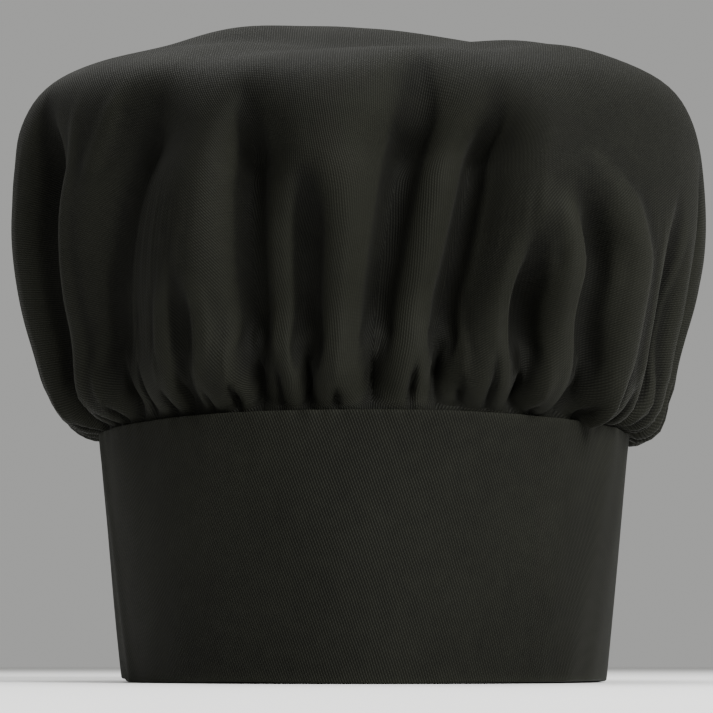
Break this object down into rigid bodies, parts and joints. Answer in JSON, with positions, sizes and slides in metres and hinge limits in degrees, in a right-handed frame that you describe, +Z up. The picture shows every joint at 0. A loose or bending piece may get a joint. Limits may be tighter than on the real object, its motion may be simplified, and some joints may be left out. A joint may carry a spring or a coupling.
{
  "type": "chef toque",
  "caption": "Soft black chef's toque with a puffed, gathered crown on a stiff head band that closes at the back with a hook-and-loop tab.",
  "frame": {"origin": "middle of the head opening, on the plane that the hem rests on", "axes": "+Z up through the crown, -Y towards the front of the hat, +Y towards the closure at the back, +X to the right as seen from the front"},
  "size_m": [0.2644, 0.2494, 0.247],
  "materials": {
    "crown_twill": "matte black cotton-blend twill, soft and unlined",
    "band_twill": "matte black cotton-blend twill, folded double and pressed flat",
    "interfacing": "stiff non-woven interfacing",
    "cotton_tape": "black herringbone cotton tape",
    "loop_pile": "black brushed loop pile",
    "hook_tape": "black nylon hook tape",
    "label_satin": "white satin label, blank",
    "sewing_thread": "black polyester thread"
  },
  "bodies": {
    "hat": {"crown": "crown_twill", "band_cover": "band_twill", "band_stiffener": "interfacing", "seam_binding": "cotton_tape", "gathering_threads": "sewing_thread", "crown_seam_thread": "sewing_thread", "binding_stitches": "sewing_thread", "loop_strip": "loop_pile", "loop_strip_stitches": "sewing_thread", "tab_root_tacks": "sewing_thread", "label_head": "label_satin", "label_stitches": "sewing_thread"},
    "closure_tab": {"tab_cover": "band_twill", "tab_stiffener": "interfacing", "hook_strip": "hook_tape", "hook_strip_stitches": "sewing_thread"},
    "label": {"care_label": "label_satin"}
  },
  "joints": [
    {"name": "tab_peel", "type": "hinge", "parent": "hat", "child": "closure_tab", "pos_m": [0.03476, 0.09253, 0], "axis": [-0.0437, 0.0206, -0.9988], "range_deg": [0, 110]},
    {"name": "label_swing", "type": "hinge", "parent": "hat", "child": "label", "pos_m": [-0.06002, 0.06839, 0.0799], "axis": [-0.7793, -0.6267, 0], "range_deg": [0, 95]}
  ]
}
